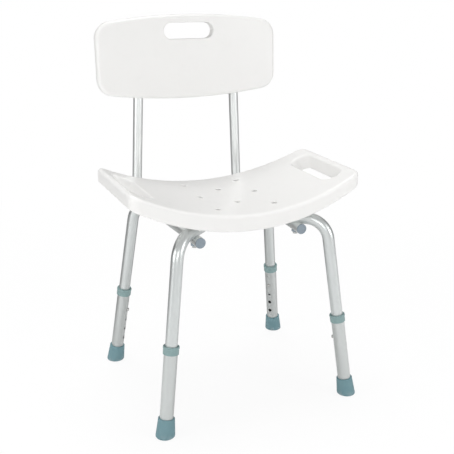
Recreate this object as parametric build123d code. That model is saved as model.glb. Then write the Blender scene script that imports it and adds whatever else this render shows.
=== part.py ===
from build123d import *
import os
from math import atan2, cos, degrees, hypot, radians, sin, sqrt

# Shower chair: a blow-moulded seat and back on a frame of aluminium tube with
# four telescoping legs.  Millimetres, +Z up, the sitter faces -Y.  Left and
# right in the names are as seen from the front, so left is -X.  The model is
# built around the point where the two diagonal tubes cross, then moved so that
# the origin lies on the floor under the middle of the chair's overall box.

# ---------------------------------------------------------------- sizes
# Clearances
press_gap = 0.05          # between pieces pressed or bolted together
slide_gap = 0.10          # radial, between the telescoping tubes
loose_gap = 0.30          # radial, between moving pieces that do not bear
contact_gap = 0.15        # between tubes and what they lie against

# Seat
seat_width = 516.0
seat_end_depth = 255.0    # front to rear, along the two ends
seat_edge_bow = 21.0      # swell of the front and rear edges at mid width
seat_top_z = 441.0        # lowest line of the sitting face
seat_end_rise = 62.5      # how far the ends curve up above that line
seat_thickness = 35.0     # at mid width
seat_end_thickness = 32.5 # straight down, at the ends
seat_wall = 2.4
seat_corner_radius = 24.0
seat_top_round = 7.0
seat_bottom_round = 4.2
drain_radius = 6.0
drain_rim_round = 1.5
drain_outer_x = 65.0
drain_outer_y = 97.0
drain_middle_y = 52.0
blow_hole_radius = 3.0
blow_hole_y = 78.0

# Hand slots in the seat ends, each flared towards the sitting face
grip_slot_length = 148.0  # at the underside
grip_slot_width = 25.0
grip_slot_flare = 13.0    # outline beyond that, all round, at the sitting face
grip_slot_from_end = 41.0 # middle of the slot, in from the seat's end
grip_mouth_round = 6.0
grip_rim_round = 2.5

# Diagonal frame tubes: each runs from one leg up, across and down to another
upper_tube_radius = 12.7
upper_tube_wall = 1.4
diagonal_drop = 35.8      # axis of the tubes under the seat's lowest line
leg_bend_radius = 48.0
crimp_side_gap = 1.0      # room either side of a tube in the other one's crimp

# Legs
foot_x = 216.9            # where the leg axis meets the floor
foot_y = 181.0
leg_lean = 9.0            # degrees, tops lean in towards the middle
lower_tube_wall = 1.5
lower_tube_top = 191.7    # these lengths run along the leg from the floor
lower_tube_bottom = 10.0
hole_count = 5
hole_pitch = 25.4
first_hole = 63.2
button_hole_index = 3     # the button stands in the fourth hole from the foot
button_radius = 4.0
button_reach = 3.4        # how far the button stands out of the lower tube
button_dome = 2.6
upper_tube_below_button = 27.0

# Snap clip inside each upper tube
clip_thickness = 0.8
clip_width = 8.0
clip_arm = 34.0
clip_tail = 6.0
clip_straight = 9.0
clip_bend_radius = 3.6    # half the width of the fold's flat end
clip_corner_round = 3.2

# Collar and rubber tip
collar_height = 17.0
collar_wall = 2.1
collar_lip = 2.0
collar_bead_height = 6.0
collar_bead = 0.6
collar_bead_round = 2.0
collar_foot_round = 1.0
tip_height = 39.5
tip_base_radius = 20.4
tip_rim_wall = 2.9
tip_base_round = 2.6
tip_rim_round = 0.8
tread_depth = 1.2
tread_radii = (8.0, 13.0)
tread_width = 1.6
washer_thickness = 2.0

# Back tubes
back_tube_radius = 11.1
back_tube_wall = 1.2
back_arm_drop = 17.5      # axis of the arms under the axis of the diagonals
back_front_x = 115.6
back_front_y = -126.0
back_knee_x = 131.5
back_knee_y = 241.5
back_knee_radius = 40.0
back_top_x = 115.2
back_top_y = 243.0
back_top_drop = 44.5      # tube ends under the upper ends of the panel's sides
end_cap_flange = 2.2
end_cap_round = 0.9
end_cap_plug = 7.0
end_cap_plug_wall = 1.6

# Frame bolts, up through back tube and diagonal into the seat
bolt_radius = 3.0
bolt_hole_radius = 3.3
bolt_head_height = 4.8
bolt_head_across = 10.0
saddle_radius = 8.0
saddle_base = 2.2         # under the tube
saddle_horns = 5.5        # up either side of the tube, from its lowest line
insert_radius = 4.6
insert_length = 13.0
seat_pad_radius = 13.0
seat_boss_radius = 9.0
bolt_end_gap = 1.5

# Rivet through the crossing
rivet_radius = 3.2
rivet_head_radius = 6.0
rivet_head_height = 2.2
rivet_head_round = 1.7
rivet_pocket_gap = 1.0

# Back panel
panel_width = 439.5
panel_side_bottom_z = 639.5
panel_side_top_z = 793.0
panel_bottom_bow = 17.5
panel_top_bow = 18.5
panel_face_ahead = 28.5   # front face before the tubes' axes, at the sides' lower ends
panel_recline = 4.1       # degrees
panel_thickness = 25.0
panel_wall = 2.4
panel_corner_radius = 38.0
panel_edge_round = 8.0
panel_slot_length = 122.0
panel_slot_width = 36.0
panel_slot_drop = 18.5    # middle of the slot under the upper ends of the sides
panel_slot_round = 3.0
socket_wall = 3.0
socket_top_gap = 2.0
panel_blow_hole_radius = 3.0
socket_cavity_run = 6.0   # wall left above a socket's dome, inside the panel

# Screws from behind, through the panel's sockets into the back tubes
panel_low_screw_rise = 27.5  # above the lower ends of the panel's sides
panel_high_screw_drop = 20.0 # under the ends of the back tubes
panel_screw_radius = 2.4
panel_screw_head_radius = 4.6
panel_screw_head_height = 2.6
panel_screw_head_round = 1.5
panel_screw_head_room = 1.0
panel_screw_length = 14.0
panel_screw_seat = 1.2    # how deep the head's flat is cut into the socket

# ---------------------------------------------------------------- worked out
grip_slot_x = seat_width / 2 - grip_slot_from_end
diagonal_z = seat_top_z - diagonal_drop
back_arm_z = diagonal_z - back_arm_drop
back_top_z = panel_side_top_z - back_top_drop
panel_slot_z = panel_side_top_z - panel_slot_drop
panel_screw_heights = (panel_side_bottom_z + panel_low_screw_rise, back_top_z - panel_high_screw_drop)
lower_tube_inner = upper_tube_radius + slide_gap
lower_tube_radius = lower_tube_inner + lower_tube_wall
button_height = first_hole + button_hole_index * hole_pitch
button_hole_radius = button_radius + loose_gap
upper_tube_end = button_height - upper_tube_below_button
tip_bore = lower_tube_radius + press_gap
tip_rim_radius = tip_bore + tip_rim_wall
diagonal_angle = degrees(atan2(foot_y, foot_x))
seat_arc_radius = ((seat_width / 2) ** 2 + seat_end_rise ** 2) / (2 * seat_end_rise)
seat_arc_z = seat_top_z + seat_arc_radius
belly_rise = seat_end_rise + seat_thickness - seat_end_thickness
belly_radius = ((seat_width / 2) ** 2 + belly_rise ** 2) / (2 * belly_rise)
belly_z = seat_top_z - seat_thickness + belly_radius
far = 2 * seat_width      # longer than anything that is cut
UP = (Align.CENTER, Align.CENTER, Align.MIN)
DOWN = (Align.CENTER, Align.CENTER, Align.MAX)
LEG_SIDES = {
    "front_left": (-1, -1),
    "front_right": (1, -1),
    "rear_left": (-1, 1),
    "rear_right": (1, 1),
}
BACK_SIDES = {"left": -1, "right": 1}


def rod(start, end, radius):
    """Round bar from start to end."""
    run = Vector(end) - Vector(start)
    return Plane(origin=start, z_dir=run) * Cylinder(radius, run.length, align=UP)


def bent_rod(path, radius):
    """Round bar along a bent centreline."""
    return sweep(Plane(origin=path @ 0, z_dir=path % 0) * Circle(radius), path=path)


def group(pieces):
    """Like pieces that share a node, each still a solid of its own."""
    return Compound([piece.solid() for piece in pieces])


def cut_with_rim(body, cutter, rim_round):
    """Cut, then round the rims that the cut leaves."""
    cut = body - cutter
    return fillet(new_edges(body, cutter, combined=cut), rim_round)


# ---------------------------------------------------------------- legs
def leg_plane(side_x, side_y):
    """Leg's own frame: origin on the floor, Z up the leg, X towards the middle."""
    outward = Vector(side_x * cos(radians(diagonal_angle)), side_y * sin(radians(diagonal_angle)), 0)
    up = outward * -sin(radians(leg_lean)) + Vector(0, 0, cos(radians(leg_lean)))
    inward = outward * -cos(radians(leg_lean)) + Vector(0, 0, -sin(radians(leg_lean)))
    return Plane(origin=(side_x * foot_x, side_y * foot_y, 0), x_dir=inward, z_dir=up)


def hole_towards_middle(height, radius):
    """Cutter for a hole in the side of a leg tube that faces the chair's middle."""
    return rod((0, 0, height), (2 * lower_tube_radius, 0, height), radius)


def lower_leg_tube(plane):
    tube = Pos(0, 0, lower_tube_bottom) * Cylinder(
        lower_tube_radius, lower_tube_top - lower_tube_bottom, align=UP
    )
    tube -= Cylinder(lower_tube_inner, far, align=UP)
    for index in range(hole_count):
        tube -= hole_towards_middle(first_hole + index * hole_pitch, button_hole_radius)
    return plane * tube


def leg_collar(plane):
    top = lower_tube_top + collar_lip
    outer = lower_tube_radius + collar_wall
    ring = Pos(0, 0, top - collar_height) * Cylinder(outer, collar_height, align=UP)
    bead = Pos(0, 0, top - collar_bead_height) * Cylinder(
        outer + collar_bead, collar_bead_height, align=UP
    )
    bead = fillet(bead.edges().filter_by(GeomType.CIRCLE), collar_bead_round)
    ring = fillet(ring.edges().group_by(Axis.Z)[0], collar_foot_round) + bead
    ring -= Pos(0, 0, lower_tube_top) * Cylinder(lower_tube_radius + press_gap, far, align=DOWN)
    ring -= Cylinder(upper_tube_radius + loose_gap, far, align=UP)
    return plane * ring


def foot_tip(plane):
    """Rubber tip: a cone about the leg, cut level where it meets the floor."""
    slope = (tip_base_radius - tip_rim_radius) / tip_height
    below = tip_base_radius   # the cone starts this far under the floor
    cone = Pos(0, 0, -below) * Cone(
        tip_base_radius + slope * below, tip_rim_radius, tip_height + below, align=UP
    )
    body = plane * fillet(cone.edges().group_by(Axis.Z)[-1], tip_rim_round)
    body -= Box(far, far, far, align=DOWN)
    body = fillet(body.edges().group_by(Axis.Z)[0], tip_base_round)
    bore_floor = lower_tube_bottom - washer_thickness - press_gap
    body -= plane * Pos(0, 0, bore_floor) * Cylinder(tip_bore, far, align=UP)
    for radius in tread_radii:
        groove = Cylinder(radius + tread_width / 2, 2 * tread_depth)
        groove -= Cylinder(radius - tread_width / 2, 2 * tread_depth)
        body -= Pos(plane.origin.X, plane.origin.Y, 0) * groove
    return body


def tip_washer(plane):
    return plane * Pos(0, 0, lower_tube_bottom - press_gap) * Cylinder(
        lower_tube_radius - press_gap, washer_thickness - press_gap, align=DOWN
    )


def snap_clip(plane):
    """Spring strip bent to a V inside the upper tube, with the button on one arm."""
    inner = upper_tube_radius - upper_tube_wall
    face_x = sqrt(inner ** 2 - (clip_width / 2) ** 2) - press_gap
    arm_x = face_x - clip_thickness / 2
    low = button_height - clip_tail
    bend_z = button_height + clip_arm
    line = FilletPolyline(
        (arm_x, low),
        (arm_x, button_height + clip_straight),
        (clip_bend_radius, bend_z),
        (-clip_bend_radius, bend_z),
        (-arm_x, button_height + clip_straight),
        (-arm_x, low),
        radius=clip_corner_round,
    )
    strip = extrude(Plane.XZ * trace(line, clip_thickness), clip_width / 2, both=True)
    reach = lower_tube_radius + button_reach
    button = rod((arm_x, 0, button_height), (reach, 0, button_height), button_radius)
    button = fillet(button.edges().group_by(Axis.X)[-1], button_dome)
    return plane * (strip + button)


# ---------------------------------------------------------------- diagonal tubes
def leg_point(side_x, side_y, along):
    """Point on a leg's axis, this far up it from the floor."""
    plane = leg_plane(side_x, side_y)
    return plane.origin + plane.z_dir * along


def diagonal_bar(side_y, radius, half_length):
    """Straight stretch of a diagonal: side_y is -1 for the one at the front right."""
    x = half_length * cos(radians(diagonal_angle))
    y = half_length * sin(radians(diagonal_angle)) * side_y
    return rod((-x, -y, diagonal_z), (x, y, diagonal_z), radius)


def diagonal_path(side_y):
    """Centreline from the leg at -X, across under the seat, to the leg at +X."""
    corner = diagonal_z / cos(radians(leg_lean))
    return FilletPolyline(
        leg_point(-1, -side_y, upper_tube_end),
        leg_point(-1, -side_y, corner),
        leg_point(1, side_y, corner),
        leg_point(1, side_y, upper_tube_end),
        radius=leg_bend_radius,
    )


def crimp(side_y, from_above, margin):
    """Cutter that presses one diagonal flat on one side where the other crosses it."""
    width = 2 * (upper_tube_radius + crimp_side_gap + margin)
    height = 2 * upper_tube_radius
    block = Rot(0, 0, -side_y * diagonal_angle) * Box(
        far, width, height, align=UP if from_above else DOWN
    )
    offset = contact_gap / 2 + margin
    return Pos(0, 0, diagonal_z - offset if from_above else diagonal_z + offset) * block


def diagonal_tube(side_y, from_above):
    path = diagonal_path(side_y)
    outer = bent_rod(path, upper_tube_radius) - crimp(side_y, from_above, 0)
    bore = bent_rod(path, upper_tube_radius - upper_tube_wall)
    bore -= crimp(side_y, from_above, upper_tube_wall)
    tube = outer - bore
    for side_x in (-1, 1):
        tube -= leg_plane(side_x, side_x * side_y) * hole_towards_middle(
            button_height, button_hole_radius
        )
    for x, y in bolt_places():
        tube -= Pos(x, y, diagonal_z) * Cylinder(bolt_hole_radius, 4 * upper_tube_radius)
    tube -= Pos(0, 0, diagonal_z) * Cylinder(rivet_radius + press_gap, 4 * upper_tube_radius)
    return tube


def crossing_rivet():
    half = upper_tube_radius + press_gap
    shank = Pos(0, 0, diagonal_z) * Cylinder(rivet_radius, 2 * half)
    head = Cylinder(rivet_head_radius, rivet_head_height, align=UP)
    head = fillet(head.edges().group_by(Axis.Z)[-1], rivet_head_round)
    top = Pos(0, 0, diagonal_z + half) * head
    bottom = Pos(0, 0, diagonal_z - half) * Rot(180, 0, 0) * head
    return shank + top + bottom


# ---------------------------------------------------------------- back tubes
def back_front(side):
    return Vector(side * back_front_x, back_front_y, back_arm_z)


def back_knee(side):
    return Vector(side * back_knee_x, back_knee_y, back_arm_z)


def back_top(side):
    return Vector(side * back_top_x, back_top_y, back_top_z)


def back_path(side):
    return FilletPolyline(back_front(side), back_knee(side), back_top(side), radius=back_knee_radius)


def back_axis_at(side, z):
    """Point on the upright part of a back tube's axis, at height z."""
    share = (z - back_arm_z) / (back_top_z - back_arm_z)
    return back_knee(side) + (back_top(side) - back_knee(side)) * share


def bolt_places():
    """Plan positions where the back tubes pass under the diagonals."""
    slope = foot_y / foot_x
    splay = (back_knee_x - back_front_x) / (back_knee_y - back_front_y)
    base = back_front_x - splay * back_front_y
    places = []
    for side_x in (-1, 1):
        for side_y in (-1, 1):
            x = base / (1 - splay * slope * side_y)
            places.append((side_x * x, side_y * slope * x))
    return places


def saddle_dent(side_y, margin):
    """Cutter for the dent that beds a back tube against a diagonal."""
    return bent_rod(diagonal_path(side_y), upper_tube_radius + contact_gap + margin)


def back_tube(side):
    path = back_path(side)
    outer = bent_rod(path, back_tube_radius)
    bore = bent_rod(path, back_tube_radius - back_tube_wall)
    for side_y in (-1, 1):
        outer -= saddle_dent(side_y, 0)
        bore -= saddle_dent(side_y, back_tube_wall)
    tube = outer - bore
    for x, y in bolt_places():
        tube -= Pos(x, y, back_arm_z) * Cylinder(bolt_hole_radius, 4 * back_tube_radius)
    for height in panel_screw_heights:
        centre = back_axis_at(side, height)
        rear = centre + Vector(0, 2 * back_tube_radius, 0)
        tube -= rod(centre, rear, panel_screw_radius + press_gap)
    return tube


def back_tube_cap(side):
    """Moulded plug in the front end of a back tube, with a flange the tube's size."""
    run = back_knee(side) - back_front(side)
    plane = Plane(origin=back_front(side), z_dir=run)
    flange = Cylinder(back_tube_radius, end_cap_flange, align=DOWN)
    flange = fillet(flange.edges().group_by(Axis.Z)[0], end_cap_round)
    inner = back_tube_radius - back_tube_wall - press_gap
    plug = Cylinder(inner, end_cap_plug, align=UP)
    plug -= Cylinder(inner - end_cap_plug_wall, end_cap_plug, align=UP)
    return plane * Pos(0, 0, -press_gap) * (flange + plug)


# ---------------------------------------------------------------- frame bolts
def frame_bolts():
    head_top = back_arm_z - back_tube_radius - saddle_base
    tip = bolt_tip_z()
    bolts = []
    for x, y in bolt_places():
        head = extrude(RegularPolygon(bolt_head_across / 2, 6, major_radius=False), -bolt_head_height)
        shank = Cylinder(bolt_radius, tip - head_top, align=UP)
        bolts.append(Pos(x, y, head_top) * (head + shank))
    return group(bolts)


def frame_saddle_washers():
    """Thick washers hollowed on top to sit against the round back tubes."""
    low = back_arm_z - back_tube_radius - saddle_base
    washers = []
    for x, y in bolt_places():
        side = 1 if x > 0 else -1
        body = Pos(x, y, low) * Cylinder(saddle_radius, saddle_base + saddle_horns, align=UP)
        start = back_front(side)
        body -= rod(start, back_knee(side), back_tube_radius + press_gap)
        body -= Pos(x, y, low) * Cylinder(bolt_hole_radius, far)
        washers.append(body)
    return group(washers)


def insert_bottom_z():
    return diagonal_z + upper_tube_radius + contact_gap + press_gap


def bolt_tip_z():
    return insert_bottom_z() + insert_length - bolt_end_gap


def seat_inserts():
    """Threaded metal bushes moulded into the seat's four bosses."""
    bushes = []
    for x, y in bolt_places():
        bush = Cylinder(insert_radius, insert_length, align=UP)
        bush -= Cylinder(bolt_radius + press_gap, insert_length, align=UP)
        bushes.append(Pos(x, y, insert_bottom_z()) * bush)
    return group(bushes)


# ---------------------------------------------------------------- seat
def seat_outline(inset):
    half_width = seat_width / 2
    half_depth = seat_end_depth / 2
    edges = Line((half_width, -half_depth), (half_width, half_depth))
    edges += ThreePointArc(
        (half_width, half_depth), (0, half_depth + seat_edge_bow), (-half_width, half_depth)
    )
    edges += Line((-half_width, half_depth), (-half_width, -half_depth))
    edges += ThreePointArc(
        (-half_width, -half_depth), (0, -half_depth - seat_edge_bow), (half_width, -half_depth)
    )
    face = make_face(edges)
    face = fillet(face.vertices(), seat_corner_radius)
    return offset(face, -inset) if inset else face


def is_on_top(edge):
    """Whether an edge lies by the sitting face rather than by the underside."""
    middle = seat_arc_radius + seat_end_thickness / 2
    return hypot(edge.center().X, edge.center().Z - seat_arc_z) < middle


def seat_block(inset):
    """Curved slab with rounded rims, this far inside the seat's outer surface."""
    low = seat_top_z - 2 * seat_thickness
    height = seat_end_rise + 4 * seat_thickness
    block = Pos(0, 0, low) * extrude(seat_outline(inset), height)
    bowl = Pos(0, 0, seat_arc_z) * Rot(90, 0, 0) * Cylinder(seat_arc_radius + inset, far)
    belly = Pos(0, 0, belly_z) * Rot(90, 0, 0) * Cylinder(belly_radius - inset, far)
    block = (block & belly) - bowl
    for on_top, radius in ((True, seat_top_round), (False, seat_bottom_round)):
        rims = block.edges() - block.edges().filter_by(Axis.Z)
        block = fillet([rim for rim in rims if is_on_top(rim) == on_top], radius - inset)
    return block


def grip_plane(side):
    """Plane that touches the seat's top face over the middle of a hand slot."""
    tilt = grip_slot_x / seat_arc_radius
    z = seat_arc_z - sqrt(seat_arc_radius ** 2 - grip_slot_x ** 2)
    normal = Vector(-side * tilt, 0, sqrt(1 - tilt ** 2))
    return Plane(origin=(side * grip_slot_x, 0, z), x_dir=(0, 1, 0), z_dir=normal)


def grip_slot(side, margin):
    """Cutter for a hand slot, square to the sitting face and wider towards it."""
    slope = grip_slot_flare / seat_end_thickness
    sections = []
    for height in (seat_end_thickness / 2, -1.5 * seat_end_thickness):
        reach = 2 * (grip_slot_flare + slope * height + margin)
        sketch = SlotOverall(grip_slot_length + reach, grip_slot_width + reach)
        sections.append(grip_plane(side) * Pos(0, 0, height) * sketch)
    return loft(sections, ruled=True)


def cut_grip_slot(body, side):
    """Cut a hand slot, with a large round at its mouth and a small one beneath."""
    cutter = grip_slot(side, 0)
    cut = body - cutter
    for on_top, radius in ((True, grip_mouth_round), (False, grip_rim_round)):
        rims = new_edges(body, cutter, combined=cut)
        cut = fillet([rim for rim in rims if is_on_top(rim) == on_top], radius)
    return cut


def drain_places():
    places = [(0, -drain_middle_y), (0, drain_middle_y)]
    for x in (-drain_outer_x, drain_outer_x):
        places += [(x, -drain_outer_y), (x, 0), (x, drain_outer_y)]
    return places


def drains(margin):
    return [Pos(x, y, 0) * Cylinder(drain_radius + margin, far, align=UP) for x, y in drain_places()]


def seat_recesses(margin):
    """What is let into the seat's underside: tube channels and the rivet's pocket."""
    cuts = []
    for side_y in (-1, 1):
        cuts.append(diagonal_bar(side_y, upper_tube_radius + contact_gap + margin, foot_x))
    pocket_top = diagonal_z + upper_tube_radius + rivet_head_height + rivet_pocket_gap + margin
    pocket_radius = rivet_head_radius + rivet_pocket_gap + margin
    cuts.append(Pos(0, 0, pocket_top) * Cylinder(pocket_radius, upper_tube_radius, align=DOWN))
    return cuts


def seat():
    shell = seat_block(0)
    for side in (-1, 1):
        shell = cut_grip_slot(shell, side)
    for drain in drains(0):
        shell = cut_with_rim(shell, drain, drain_rim_round)
    # pads that reach down from the underside to the diagonals at the bolts
    for x, y in bolt_places():
        pad = Pos(x, y, diagonal_z) * Cylinder(seat_pad_radius, seat_thickness, align=UP)
        shell += pad
    for cut in seat_recesses(0):
        shell -= cut
    cavity = seat_block(seat_wall)
    for side in (-1, 1):
        cavity -= grip_slot(side, seat_wall)
    for x, y in bolt_places():
        cavity -= Pos(x, y, 0) * Cylinder(seat_boss_radius, far, align=UP)
    for cut in drains(seat_wall) + seat_recesses(seat_wall):
        cavity -= cut
    shell -= cavity
    bush_top = insert_bottom_z() + insert_length + press_gap
    for x, y in bolt_places():
        shell -= Pos(x, y, bush_top) * Cylinder(insert_radius + press_gap, insert_length * 2, align=DOWN)
    shell -= Pos(0, blow_hole_y, seat_top_z - seat_thickness / 2) * Cylinder(
        blow_hole_radius, seat_thickness, align=DOWN
    )
    return shell


# ---------------------------------------------------------------- back panel
def panel_plane():
    """Panel's front face: X across, Y up the reclined face, Z out to the front."""
    lean = radians(panel_recline)
    front_y = back_axis_at(1, panel_side_bottom_z).Y - panel_face_ahead
    return Plane(
        origin=(0, front_y, panel_side_bottom_z),
        x_dir=(1, 0, 0),
        z_dir=(0, -cos(lean), sin(lean)),
    )


def up_panel(z):
    """Distance up the reclined face at height z."""
    return (z - panel_side_bottom_z) / cos(radians(panel_recline))


def panel_outline(inset):
    half_width = panel_width / 2
    low = 0
    high = up_panel(panel_side_top_z)
    edges = Line((half_width, low), (half_width, high))
    edges += ThreePointArc((half_width, high), (0, high + panel_top_bow), (-half_width, high))
    edges += Line((-half_width, high), (-half_width, low))
    edges += ThreePointArc((-half_width, low), (0, low - panel_bottom_bow), (half_width, low))
    face = make_face(edges)
    face = fillet(face.vertices(), panel_corner_radius)
    return offset(face, -inset) if inset else face


def panel_block(inset):
    """Flat slab with rounded rims, this far inside the panel's outer surface."""
    depth = panel_thickness - 2 * inset
    block = Pos(0, 0, -inset) * extrude(panel_outline(inset), -depth)
    rims = block.edges() - block.edges().filter_by(Axis.Z)
    return panel_plane() * fillet(rims, panel_edge_round - inset)


def panel_slot(margin):
    sketch = SlotOverall(panel_slot_length + 2 * margin, panel_slot_width + 2 * margin)
    cutter = extrude(sketch, panel_thickness * 2, both=True)
    return panel_plane() * Pos(0, up_panel(panel_slot_z), 0) * cutter


def back_upright(side, radius, beyond):
    """Bar on a back tube's upright axis, from the knee to beyond the tube's end."""
    run = (back_top(side) - back_knee(side)).normalized()
    end = back_top(side) + run * beyond
    return rod(back_knee(side), end, radius)


def back_socket(side):
    """U-shaped sleeve on the panel's rear that takes a back tube, with a domed top."""
    radius = back_tube_radius + contact_gap + socket_wall
    run = (back_top(side) - back_knee(side)).normalized()
    top = back_top(side) + run * socket_top_gap
    base = Plane(origin=back_knee(side), x_dir=(1, 0, 0), z_dir=run)
    web_height = (top - back_knee(side)).length
    web = base * Box(2 * radius, radius, web_height, align=(Align.CENTER, Align.MAX, Align.MIN))
    sleeve = back_upright(side, radius, socket_top_gap) + Pos(top) * Sphere(radius) + web
    reach = panel_plane() * extrude(panel_outline(panel_edge_round / 2), far, both=True)
    return sleeve & reach


def screw_places():
    """Axis points of the panel screws, on the back tubes' axes."""
    return [back_axis_at(side, z) for side in BACK_SIDES.values() for z in panel_screw_heights]


def panel_screw_seat_y():
    """Distance from a back tube's axis to the flat under a screw head."""
    return back_tube_radius + contact_gap + socket_wall - panel_screw_seat


def backrest_panel():
    shell = cut_with_rim(panel_block(0), panel_slot(0), panel_slot_round)
    for side in BACK_SIDES.values():
        shell += back_socket(side)
    cavity = panel_block(panel_wall) - panel_slot(panel_wall)
    for side in BACK_SIDES.values():
        cavity -= back_upright(side, back_tube_radius + contact_gap + socket_wall, socket_cavity_run)
    shell -= cavity
    for side in BACK_SIDES.values():
        shell -= back_upright(side, back_tube_radius + contact_gap, socket_top_gap)
    for place in screw_places():
        seat_y = place.Y + panel_screw_seat_y()
        seat = (place.X, seat_y, place.Z)
        rear = (place.X, seat_y + panel_thickness, place.Z)
        shell -= rod(seat, rear, panel_screw_head_radius + panel_screw_head_room)
        shell -= rod(place, rear, panel_screw_radius + press_gap)
    blow = panel_plane() * Pos(0, -panel_bottom_bow, -panel_thickness / 2)
    shell -= blow * Rot(-90, 0, 0) * Cylinder(panel_blow_hole_radius, panel_thickness)
    return shell


def panel_screws():
    screws = []
    for place in screw_places():
        seat_y = place.Y + panel_screw_seat_y() + press_gap
        seat = (place.X, seat_y, place.Z)
        head = rod(seat, (place.X, seat_y + panel_screw_head_height, place.Z), panel_screw_head_radius)
        head = fillet(head.edges().group_by(Axis.Y)[-1], panel_screw_head_round)
        shank = rod((place.X, seat_y - panel_screw_length, place.Z), seat, panel_screw_radius)
        screws.append(head + shank)
    return group(screws)


# ---------------------------------------------------------------- assembly
def build_chair():
    nodes = {
        "seat": seat(),
        "seat_inserts": seat_inserts(),
        "diagonal_tube_a": diagonal_tube(1, from_above=False),
        "diagonal_tube_b": diagonal_tube(-1, from_above=True),
        "crossing_rivet": crossing_rivet(),
        "frame_bolts": frame_bolts(),
        "frame_saddle_washers": frame_saddle_washers(),
        "backrest_panel": backrest_panel(),
        "panel_screws": panel_screws(),
    }
    for name, side in BACK_SIDES.items():
        nodes[f"back_tube_{name}"] = back_tube(side)
        nodes[f"back_tube_cap_{name}"] = back_tube_cap(side)
    for name, (side_x, side_y) in LEG_SIDES.items():
        plane = leg_plane(side_x, side_y)
        nodes[f"lower_leg_{name}"] = lower_leg_tube(plane)
        nodes[f"leg_collar_{name}"] = leg_collar(plane)
        nodes[f"foot_tip_{name}"] = foot_tip(plane)
        nodes[f"tip_washer_{name}"] = tip_washer(plane)
        nodes[f"snap_clip_{name}"] = snap_clip(plane)
    return nodes


def middle_y(nodes):
    """Y of the overall box's middle, where the origin goes."""
    boxes = [shape.bounding_box() for shape in nodes.values()]
    return (min(box.min.Y for box in boxes) + max(box.max.Y for box in boxes)) / 2


chair = build_chair()
to_origin = Pos(0, -middle_y(chair), 0)
os.makedirs("parts", exist_ok=True)
for node, shape in chair.items():
    export_step(to_origin * shape, f"parts/{node}.step")
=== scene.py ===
from math import cos, radians, sin

import bpy
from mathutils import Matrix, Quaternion, Vector


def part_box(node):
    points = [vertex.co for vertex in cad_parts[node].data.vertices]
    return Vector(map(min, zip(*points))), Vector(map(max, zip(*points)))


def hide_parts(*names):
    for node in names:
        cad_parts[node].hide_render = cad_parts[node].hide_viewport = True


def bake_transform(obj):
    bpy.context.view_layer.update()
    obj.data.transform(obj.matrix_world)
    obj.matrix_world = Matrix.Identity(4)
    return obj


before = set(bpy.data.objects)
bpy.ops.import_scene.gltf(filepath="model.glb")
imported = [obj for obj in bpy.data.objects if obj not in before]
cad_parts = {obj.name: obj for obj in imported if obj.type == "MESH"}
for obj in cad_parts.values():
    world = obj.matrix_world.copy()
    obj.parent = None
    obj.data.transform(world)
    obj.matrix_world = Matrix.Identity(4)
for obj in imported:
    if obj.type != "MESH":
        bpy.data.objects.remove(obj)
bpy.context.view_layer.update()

# ---------------------------------------------------------------- lower leg tubes
# Four outer tubes of drawn aluminium, 28.6 mm across, with a row of punched
# holes that faces the middle.  They are clear anodised to a satin grey, with a
# faint fine grain, slow clouds and scattered scuffs.
LEGS = ["front_left", "front_right", "rear_left", "rear_right"]
LOWER_GREY = (0.620, 0.642, 0.636)
LOWER_SHADE = (0.510, 0.534, 0.528)
GRAIN_SIZE = 0.0011          # metres, as all sizes here are
GRAIN_SQUEEZE = 0.015        # so slight that the grain stays nearly round
GRAIN_DEPTH = 0.000012
CLOUD_SIZE = 0.045           # slow change of the anodising
SCUFF_SIZE = 0.006


class Amount:
    """A number that changes over a surface, so that finishes read as sums."""

    def __init__(self, finish, socket):
        self.finish = finish
        self.socket = socket

    def combine(self, operation, first, second):
        return self.finish.amount("ShaderNodeMath", {"operation": operation}, {0: first, 1: second})

    def __add__(self, other):
        return self.combine("ADD", self, other)

    def __radd__(self, other):
        return self.combine("ADD", other, self)

    def __sub__(self, other):
        return self.combine("SUBTRACT", self, other)

    def __rsub__(self, other):
        return self.combine("SUBTRACT", other, self)

    def __mul__(self, other):
        return self.combine("MULTIPLY", self, other)

    def __rmul__(self, other):
        return self.combine("MULTIPLY", other, self)


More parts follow.
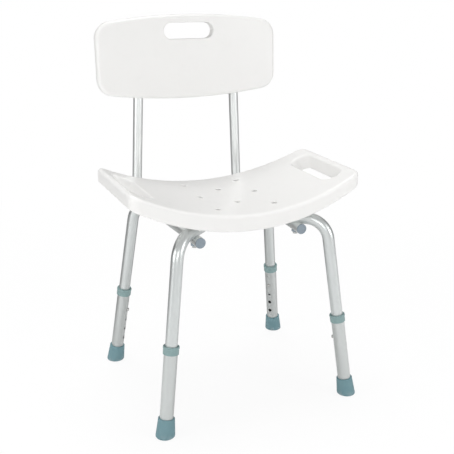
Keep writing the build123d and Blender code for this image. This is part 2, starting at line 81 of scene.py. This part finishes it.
class Finish:
    """A material, or the light of a room, built up node by node."""

    def __init__(self, owner, coordinates="Object"):
        owner.use_nodes = True
        self.owner = owner
        self.tree = owner.node_tree
        self.tree.nodes.clear()
        self.place = self.node("ShaderNodeTexCoord").outputs[coordinates]

    def node(self, kind, settings=None, sockets=None):
        """A node of this kind; its settings go in before its sockets' values and links."""
        made = self.tree.nodes.new(kind)
        for name, value in (settings or {}).items():
            setattr(made, name, value)
        for key, value in (sockets or {}).items():
            if isinstance(value, Amount):
                value = value.socket
            if isinstance(value, bpy.types.NodeSocket):
                self.tree.links.new(value, made.inputs[key])
            else:
                made.inputs[key].default_value = value
        return made

    def amount(self, kind, settings=None, sockets=None, output=0):
        return Amount(self, self.node(kind, settings, sockets).outputs[output])

    def coordinate(self, axis):
        """Place along x, y or z, which are 0, 1 and 2."""
        return self.amount("ShaderNodeSeparateXYZ", sockets={0: self.place}, output=axis)

    def noise(self, size, detail=2.0, place=None, roughness=0.5):
        """Cloudy pattern with spots about this many metres across."""
        return self.amount(
            "ShaderNodeTexNoise",
            sockets={
                "Vector": place or self.place,
                "Scale": 1 / size,
                "Detail": detail,
                "Roughness": roughness,
            },
        )

    def step(self, amount, low, high):
        """0 below low, 1 above high, smooth between."""
        return self.amount(
            "ShaderNodeMapRange",
            {"interpolation_type": "SMOOTHSTEP"},
            {"Value": amount, "From Min": low, "From Max": high},
        )

    def blend(self, amount, first, second):
        """Colour that goes from first to second as the amount goes from 0 to 1."""
        sockets = {"Factor": amount, 6: (*first, 1), 7: (*second, 1)}
        return self.node("ShaderNodeMix", {"data_type": "RGBA"}, sockets).outputs[2]

    def grain_place(self, axis, squeeze):
        """Places with this share taken off along an axis, which draws a pattern out along it."""
        along = self.node(
            "ShaderNodeVectorMath", {"operation": "DOT_PRODUCT"}, {0: self.place, 1: axis}
        )
        taken = self.node(
            "ShaderNodeVectorMath",
            {"operation": "SCALE"},
            {0: axis, "Scale": along.outputs["Value"]},
        )
        shrunk = self.node(
            "ShaderNodeVectorMath", {"operation": "SCALE"}, {0: taken.outputs[0], "Scale": squeeze}
        )
        return self.node(
            "ShaderNodeVectorMath", {"operation": "SUBTRACT"}, {0: self.place, 1: shrunk.outputs[0]}
        ).outputs[0]

    def relief(self, height, depth):
        """Normal of a surface with this relief; a height of 1 is this depth in metres."""
        return self.node(
            "ShaderNodeBump", {}, {"Strength": 1.0, "Distance": depth, "Height": height}
        ).outputs[0]

    def surface(self, **sockets):
        """Closes the material with these values on its shader, and returns it."""
        named = {key.replace("_", " "): value for key, value in sockets.items()}
        shader = self.node("ShaderNodeBsdfPrincipled", {}, named)
        self.node("ShaderNodeOutputMaterial", {}, {"Surface": shader.outputs[0]})
        return self.owner


def dress(node, material):
    """Gives a carried-over CAD piece its finish."""
    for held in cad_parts[node].material_slots:
        held.material = material


def tube_finish(name, runs, grey, shade):
    """Satin anodised tube.  Each run is a direction for the grain and a function that gives
    where on the tube it takes over from the runs before it; the first has None for that."""
    finish = Finish(bpy.data.materials.new(name))
    for direction, where in runs:
        run = finish.noise(GRAIN_SIZE, 3.0, finish.grain_place(direction, GRAIN_SQUEEZE), 0.6)
        if where:
            mask = where(finish)
            grain = grain * (1 - mask) + run * mask
        else:
            grain = run
    cloud = finish.noise(CLOUD_SIZE, 3.0)
    scuff = finish.step(finish.noise(SCUFF_SIZE, 4.0, roughness=0.7), 0.60, 0.72)
    worn = finish.step(grain, 0.25, 0.80) * 0.35 + cloud * 0.25 + scuff * 0.18
    return finish.surface(
        Base_Color=finish.blend(worn, grey, shade),
        Metallic=0.82,
        Roughness=0.24 + grain * 0.09 + cloud * 0.06 + scuff * 0.08,
        Normal=finish.relief(grain, GRAIN_DEPTH),
        IOR=1.6,
    )


def middle_of(node):
    """Middle of a CAD piece's box."""
    return sum(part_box(node), Vector()) / 2


def run_between(start, end):
    """Direction of the tube that runs from one CAD piece to another."""
    return tuple((middle_of(end) - middle_of(start)).normalized())


leg_runs = {leg: run_between(f"foot_tip_{leg}", f"leg_collar_{leg}") for leg in LEGS}
for leg in LEGS:
    finish = tube_finish(f"lower_tube_{leg}", [(leg_runs[leg], None)], LOWER_GREY, LOWER_SHADE)
    dress(f"lower_leg_{leg}", finish)

# ---------------------------------------------------------------- rubber tips
# Moulded rubber boots over the ends of the lower tubes, blue-grey all through.
# The skin is dull and faintly grained, and it greys with dust near the floor.
TIP_BLUE = (0.132, 0.258, 0.292)
TIP_DUST = (0.290, 0.375, 0.400)
RUBBER_GRAIN = 0.0007
BLOOM_SIZE = 0.012
DUST_FROM = 0.014            # above the floor, thinning out from DUST_FULL
DUST_FULL = 0.001
TIP_RELIEF = 0.00005

tip_rubber = Finish(bpy.data.materials.new("tip_rubber"))
low_down = 1 - tip_rubber.step(tip_rubber.coordinate(2), DUST_FULL, DUST_FROM)
skin = tip_rubber.noise(RUBBER_GRAIN)
bloom = tip_rubber.noise(BLOOM_SIZE, 3.0)
dust = low_down * tip_rubber.step(bloom, 0.35, 0.65)
tip_rubber.surface(
    Base_Color=tip_rubber.blend(dust * 0.6 + bloom * 0.25, TIP_BLUE, TIP_DUST),
    Roughness=0.52 + bloom * 0.14 + dust * 0.15,
    Normal=tip_rubber.relief(skin + bloom * 2.0, TIP_RELIEF),
)
for leg in LEGS:
    dress(f"foot_tip_{leg}", tip_rubber.owner)

# ---------------------------------------------------------------- washers in the tips
# Pressed steel discs that keep the tube ends from cutting through the rubber.
# Bright zinc plate, with the mottled grey that zinc gets in the wet.
ZINC = (0.560, 0.565, 0.560)
ZINC_DULL = (0.400, 0.405, 0.400)
SPANGLE_SIZE = 0.0022
ZINC_GRAIN = 0.0004
ZINC_RELIEF = 0.00002

zinc_plate = Finish(bpy.data.materials.new("zinc_plate"))
spangle = zinc_plate.noise(SPANGLE_SIZE, 4.0, roughness=0.65)
zinc_plate.surface(
    Base_Color=zinc_plate.blend(zinc_plate.step(spangle, 0.40, 0.70), ZINC, ZINC_DULL),
    Metallic=1.0,
    Roughness=0.26 + spangle * 0.22,
    Normal=zinc_plate.relief(zinc_plate.noise(ZINC_GRAIN), ZINC_RELIEF),
)
for leg in LEGS:
    dress(f"tip_washer_{leg}", zinc_plate.owner)

# ---------------------------------------------------------------- collars
# Nylon rings pressed over the tops of the lower tubes, with a thick lip.  They
# take up the play between the tubes.  Grey-green, satin, lighter where rubbed.
COLLAR_GREEN = (0.215, 0.325, 0.327)
COLLAR_RUBBED = (0.330, 0.430, 0.425)
FLOW_SIZE = 0.009
RUB_SIZE = 0.003
COLLAR_GRAIN = 0.0005
COLLAR_RELIEF = 0.00006

collar_nylon = Finish(bpy.data.materials.new("collar_nylon"))
flow = collar_nylon.noise(FLOW_SIZE, 3.0)
rubbed = collar_nylon.step(collar_nylon.noise(RUB_SIZE, 4.0, roughness=0.7), 0.50, 0.75)
collar_nylon.surface(
    Base_Color=collar_nylon.blend(rubbed * 0.35 + flow * 0.2, COLLAR_GREEN, COLLAR_RUBBED),
    Roughness=0.34 + flow * 0.10 + rubbed * 0.10,
    Normal=collar_nylon.relief(flow + collar_nylon.noise(COLLAR_GRAIN) * 0.3, COLLAR_RELIEF),
)
for leg in LEGS:
    dress(f"leg_collar_{leg}", collar_nylon.owner)

# ---------------------------------------------------------------- snap clips
# A strip of satin stainless spring steel, folded to a V inside each upper tube,
# with a domed button that stands out through both tubes.  Its far leg rests on
# the tube's wall while the button goes in.
SPRING_STEEL = (0.600, 0.600, 0.585)
SPRING_DARK = (0.470, 0.470, 0.460)
SPRING_GRAIN = 0.0005
SPRING_SQUEEZE = 0.1         # drawn out upwards by a tenth
SPRING_DEPTH = 0.00001

spring_strip = Finish(bpy.data.materials.new("spring_strip"))
satin = spring_strip.noise(SPRING_GRAIN, 3.0, spring_strip.grain_place((0, 0, 1), SPRING_SQUEEZE))
spring_strip.surface(
    Base_Color=spring_strip.blend(satin, SPRING_STEEL, SPRING_DARK),
    Metallic=1.0,
    Roughness=0.20 + satin * 0.16,
    Normal=spring_strip.relief(satin, SPRING_DEPTH),
)
for leg in LEGS:
    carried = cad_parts[f"snap_clip_{leg}"]
    dress(f"snap_clip_{leg}", spring_strip.owner)
    strip = bpy.data.objects.new(f"snap_strip_{leg}", carried.data.copy())
    bpy.context.scene.collection.objects.link(strip)
    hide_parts(f"snap_clip_{leg}")
    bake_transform(strip)

# ---------------------------------------------------------------- diagonal tubes
# Two 25.4 mm tubes, each bent at both ends to make a leg, an arch and a leg.
# They are pressed flat where they cross under the seat, and riveted there.
BAR_HEIGHT = middle_of("crossing_rivet").z
BEND_DEPTH = 0.045           # how far below the bar the bends reach
MEETING = 0.01               # either side of the middle, where one leg's grain gives way
DIAGONAL_GREY = (0.676, 0.702, 0.697)
DIAGONAL_SHADE = (0.560, 0.588, 0.583)


def on_right_leg(finish):
    return finish.step(finish.coordinate(0), -MEETING, MEETING)


def on_bar(finish):
    return finish.step(finish.coordinate(2), BAR_HEIGHT - BEND_DEPTH, BAR_HEIGHT)


for tube, (left_leg, right_leg) in {
    "diagonal_tube_a": ("rear_left", "front_right"),
    "diagonal_tube_b": ("front_left", "rear_right"),
}.items():
    bar = run_between(f"foot_tip_{left_leg}", f"foot_tip_{right_leg}")
    runs = [(leg_runs[left_leg], None), (leg_runs[right_leg], on_right_leg), (bar, on_bar)]
    dress(tube, tube_finish(f"{tube}_finish", runs, DIAGONAL_GREY, DIAGONAL_SHADE))

dress("crossing_rivet", zinc_plate.owner)

# ---------------------------------------------------------------- back tubes
# Two 22.2 mm tubes that lie under the diagonals and bend up behind the seat to
# carry the back panel.  Satin anodised as the legs are and less worn, with greys painted lighter than
# the legs' as painted light, for the brighter light these tubes catch.
# painted light: both greys are raised above the legs' to stand in for the brighter light on these
# tubes
BACK_PAINTED_LIGHT_GREY = (0.900, 0.920, 0.914)
BACK_PAINTED_LIGHT_SHADE = (0.810, 0.832, 0.826)
ALONG_SEAT = (0, 1, 0)
UP_TO_PANEL = (0, 0.04, 1)   # leaning back a little


def on_upright(finish):
    return finish.step(finish.coordinate(2), BAR_HEIGHT, BAR_HEIGHT + BEND_DEPTH)


for side in ("left", "right"):
    runs = [(ALONG_SEAT, None), (UP_TO_PANEL, on_upright)]
    finish = tube_finish(f"back_tube_{side}_finish", runs, BACK_PAINTED_LIGHT_GREY, BACK_PAINTED_LIGHT_SHADE)
    dress(f"back_tube_{side}", finish)

# ---------------------------------------------------------------- end caps
# Moulded plugs in the front ends of the back tubes, slate grey nylon with a
# flat face that catches scratches.  The bolts' saddle washers are of it too.
CAP_SLATE = (0.235, 0.285, 0.330)
CAP_WORN = (0.330, 0.375, 0.410)
SWIRL_SIZE = 0.006
SCRATCH_SIZE = 0.0012
CAP_RELIEF = 0.00005

cap_nylon = Finish(bpy.data.materials.new("cap_nylon"))
swirl = cap_nylon.noise(SWIRL_SIZE, 3.0)
scratch = cap_nylon.step(cap_nylon.noise(SCRATCH_SIZE, 4.0, roughness=0.75), 0.55, 0.75)
cap_nylon.surface(
    Base_Color=cap_nylon.blend(scratch * 0.4 + swirl * 0.2, CAP_SLATE, CAP_WORN),
    Roughness=0.36 + swirl * 0.10 + scratch * 0.10,
    Normal=cap_nylon.relief(swirl + scratch * 0.4, CAP_RELIEF),
)
for side in ("left", "right"):
    dress(f"back_tube_cap_{side}", cap_nylon.owner)
dress("frame_saddle_washers", cap_nylon.owner)

# ---------------------------------------------------------------- bolts and screws
# Zinc-plated hex bolts up through the frame into the seat, and domed screws from
# behind that hold the back panel to its tubes.
for fasteners in ("frame_bolts", "panel_screws"):
    dress(fasteners, zinc_plate.owner)

# ---------------------------------------------------------------- seat inserts
# Turned brass bushes, moulded into the seat for the frame bolts, with browner
# spots of tarnish.
BRASS = (0.640, 0.500, 0.240)
BRASS_DULL = (0.450, 0.340, 0.160)
TARNISH_SIZE = 0.002
BRASS_GRAIN = 0.0004
BRASS_RELIEF = 0.00002

turned_brass = Finish(bpy.data.materials.new("turned_brass"))
tarnish = turned_brass.noise(TARNISH_SIZE, 3.0)
turned_brass.surface(
    Base_Color=turned_brass.blend(tarnish, BRASS, BRASS_DULL),
    Metallic=1.0,
    Roughness=0.24 + tarnish * 0.2,
    Normal=turned_brass.relief(turned_brass.noise(BRASS_GRAIN), BRASS_RELIEF),
)
dress("seat_inserts", turned_brass.owner)

# ---------------------------------------------------------------- seat and back panel
# Blow-moulded polyethylene, off-white all through.  The mould leaves a fine
# stipple, and slow waves where the shell is hollow, and use rubs it smoother in
# patches with faint grey marks.
POLY_WHITE = (0.856, 0.851, 0.838)
POLY_GREYED = (0.815, 0.812, 0.798)
WAVE_SIZE = 0.070
STIPPLE_SIZE = 0.0012
MARK_SIZE = 0.020
POLY_RELIEF = 0.0004

moulded_poly = Finish(bpy.data.materials.new("moulded_poly"))
wave = moulded_poly.noise(WAVE_SIZE)
stipple = moulded_poly.noise(STIPPLE_SIZE, roughness=0.6)
marks = moulded_poly.step(moulded_poly.noise(MARK_SIZE, 5.0, roughness=0.72), 0.52, 0.78)
moulded_poly.surface(
    Base_Color=moulded_poly.blend(wave * 0.25 + marks * 0.30, POLY_WHITE, POLY_GREYED),
    Roughness=0.36 + wave * 0.08 - marks * 0.08 + stipple * 0.05,
    Coat_Weight=0.12 + marks * 0.10,
    Coat_Roughness=0.18,
    Normal=moulded_poly.relief(stipple * 0.05 + wave * 1.6, POLY_RELIEF),
)
for shell in ("seat", "backrest_panel"):
    dress(shell, moulded_poly.owner)

# ---------------------------------------------------------------- floor
# A plain pale studio floor.  Towards the camera it has a share of its own white, so
# that it runs into the white room while the chair's shadow still shows on it.
# Shiny pieces mirror it dim behind the chair, which darkens the tubes' edges.
FLOOR_REACH = 12.0
FLOOR_WHITE = (0.90, 0.90, 0.90, 1)
FLOOR_GLOW = 0.90            # share of own white out to FLOOR_NEAR, all of it from FLOOR_FAR
FLOOR_NEAR = 0.35
FLOOR_FAR = 1.6
FLOOR_DIM = (0.25, 0.25, 0.25, 1)
DIM_FROM = -0.1              # from before the chair's middle towards its back
DIM_FULL = 0.6
PLAIN_WHITE = (1, 1, 1, 1)

floor_mesh = bpy.data.meshes.new("floor")
corners = [(x * FLOOR_REACH, y * FLOOR_REACH, 0) for x, y in ((-1, -1), (1, -1), (1, 1), (-1, 1))]
floor_mesh.from_pydata(corners, [], [(0, 1, 2, 3)])
floor = bpy.data.objects.new("floor", floor_mesh)
bpy.context.scene.collection.objects.link(floor)

floor_paint = Finish(bpy.data.materials.new("floor_paint"))
sight = floor_paint.amount("ShaderNodeLightPath", output="Is Camera Ray")
mirror = floor_paint.amount("ShaderNodeLightPath", output="Is Glossy Ray")
away = floor_paint.amount(
    "ShaderNodeVectorMath", {"operation": "LENGTH"}, {0: floor_paint.place}, output="Value"
)
spread = FLOOR_GLOW + (1 - FLOOR_GLOW) * floor_paint.step(away, FLOOR_NEAR, FLOOR_FAR)
behind = floor_paint.step(floor_paint.coordinate(1), DIM_FROM, DIM_FULL)
matt = floor_paint.node("ShaderNodeBsdfDiffuse", {}, {"Color": FLOOR_WHITE})
dim = floor_paint.node("ShaderNodeBsdfDiffuse", {}, {"Color": FLOOR_DIM})
lit = floor_paint.node(
    "ShaderNodeMixShader", {}, {0: mirror * behind, 1: matt.outputs[0], 2: dim.outputs[0]}
)
glow = floor_paint.node("ShaderNodeEmission", {}, {"Color": PLAIN_WHITE, "Strength": 1.0})
both = floor_paint.node(
    "ShaderNodeMixShader", {}, {0: sight * spread, 1: lit.outputs[0], 2: glow.outputs[0]}
)
floor_paint.node("ShaderNodeOutputMaterial", {}, {"Surface": both.outputs[0]})
floor_mesh.materials.append(floor_paint.owner)

# ---------------------------------------------------------------- light
# A white room whose far walls are in shade, which draws the thin dark edges on
# the tubes.  Soft lamps hang left, before, right and above, so that each tube
# carries two bright bands with a greyer one between them.
ROOM_LIGHT = 0.52            # from all round
WALL_FRONT = 0.62            # what shiny pieces mirror, before the chair
WALL_BEHIND = 0.10           # and behind it
WALL_TURN = (-0.5, 0.7)      # how far back one gives way to the other, on a ball of radius 1
AIM_ACROSS = -0.001
AIM_HEIGHT = 0.368
stand = sum((middle_of(f"foot_tip_{leg}") for leg in LEGS), Vector()) / len(LEGS)
aim = Vector((AIM_ACROSS, stand.y, AIM_HEIGHT))

room = Finish(bpy.data.worlds.new("room"), "Generated")
walls = WALL_FRONT + (WALL_BEHIND - WALL_FRONT) * room.step(room.coordinate(1), *WALL_TURN)
mirrored = room.amount("ShaderNodeLightPath", output="Is Glossy Ray")
level = ROOM_LIGHT + (walls - ROOM_LIGHT) * mirrored
ambient = room.node("ShaderNodeBackground", {}, {"Color": PLAIN_WHITE, "Strength": level})
white = room.node("ShaderNodeBackground", {}, {"Color": PLAIN_WHITE, "Strength": 1.0})
seen = room.amount("ShaderNodeLightPath", output="Is Camera Ray")
choice = room.node("ShaderNodeMixShader", {}, {0: seen, 1: ambient.outputs[0], 2: white.outputs[0]})
room.node("ShaderNodeOutputWorld", {}, {"Surface": choice.outputs[0]})
bpy.context.scene.world = room.owner


def soft_lamp(name, place, size, watts):
    """A round lamp turned to the middle of the chair."""
    lamp = bpy.data.lights.new(name, "AREA")
    lamp.shape = "DISK"
    lamp.size = size
    lamp.energy = watts
    held = bpy.data.objects.new(name, lamp)
    held.location = place
    held.rotation_euler = (aim - Vector(place)).to_track_quat("-Z", "Y").to_euler()
    bpy.context.scene.collection.objects.link(held)


soft_lamp("lamp_left", (-2.4, -0.3, 1.0), 1.4, 16)
soft_lamp("lamp_front", (-1.0, -2.6, 1.2), 1.2, 13)
soft_lamp("lamp_right", (1.7, -1.9, 1.0), 1.3, 13.5)
soft_lamp("lamp_overhead", (0.1, 0.8, 4.4), 2.4, 82)

# ---------------------------------------------------------------- camera
# Stands before the chair on its left and looks slightly down on the seat.
VIEW_AROUND = radians(-24.1)
VIEW_DOWN = radians(18.6)
VIEW_ROLL = radians(0.46)
VIEW_DISTANCE = 1.713
VIEW_LENS = 61.37            # millimetres, on a sensor of SENSOR_WIDTH
SENSOR_WIDTH = 36.0
VIEW_END = 40.0              # metres from the camera

camera = bpy.data.objects.new("camera", bpy.data.cameras.new("camera"))
camera.data.lens = VIEW_LENS
camera.data.sensor_width = SENSOR_WIDTH
camera.data.clip_end = VIEW_END
back = Vector((sin(VIEW_AROUND) * cos(VIEW_DOWN), -cos(VIEW_AROUND) * cos(VIEW_DOWN), sin(VIEW_DOWN)))
camera.location = aim + back * VIEW_DISTANCE
turned_view = back.to_track_quat("Z", "Y") @ Quaternion((0, 0, 1), VIEW_ROLL)
camera.rotation_euler = turned_view.to_euler()
bpy.context.scene.collection.objects.link(camera)
bpy.context.scene.camera = camera
bpy.context.scene.view_settings.view_transform = "Standard"
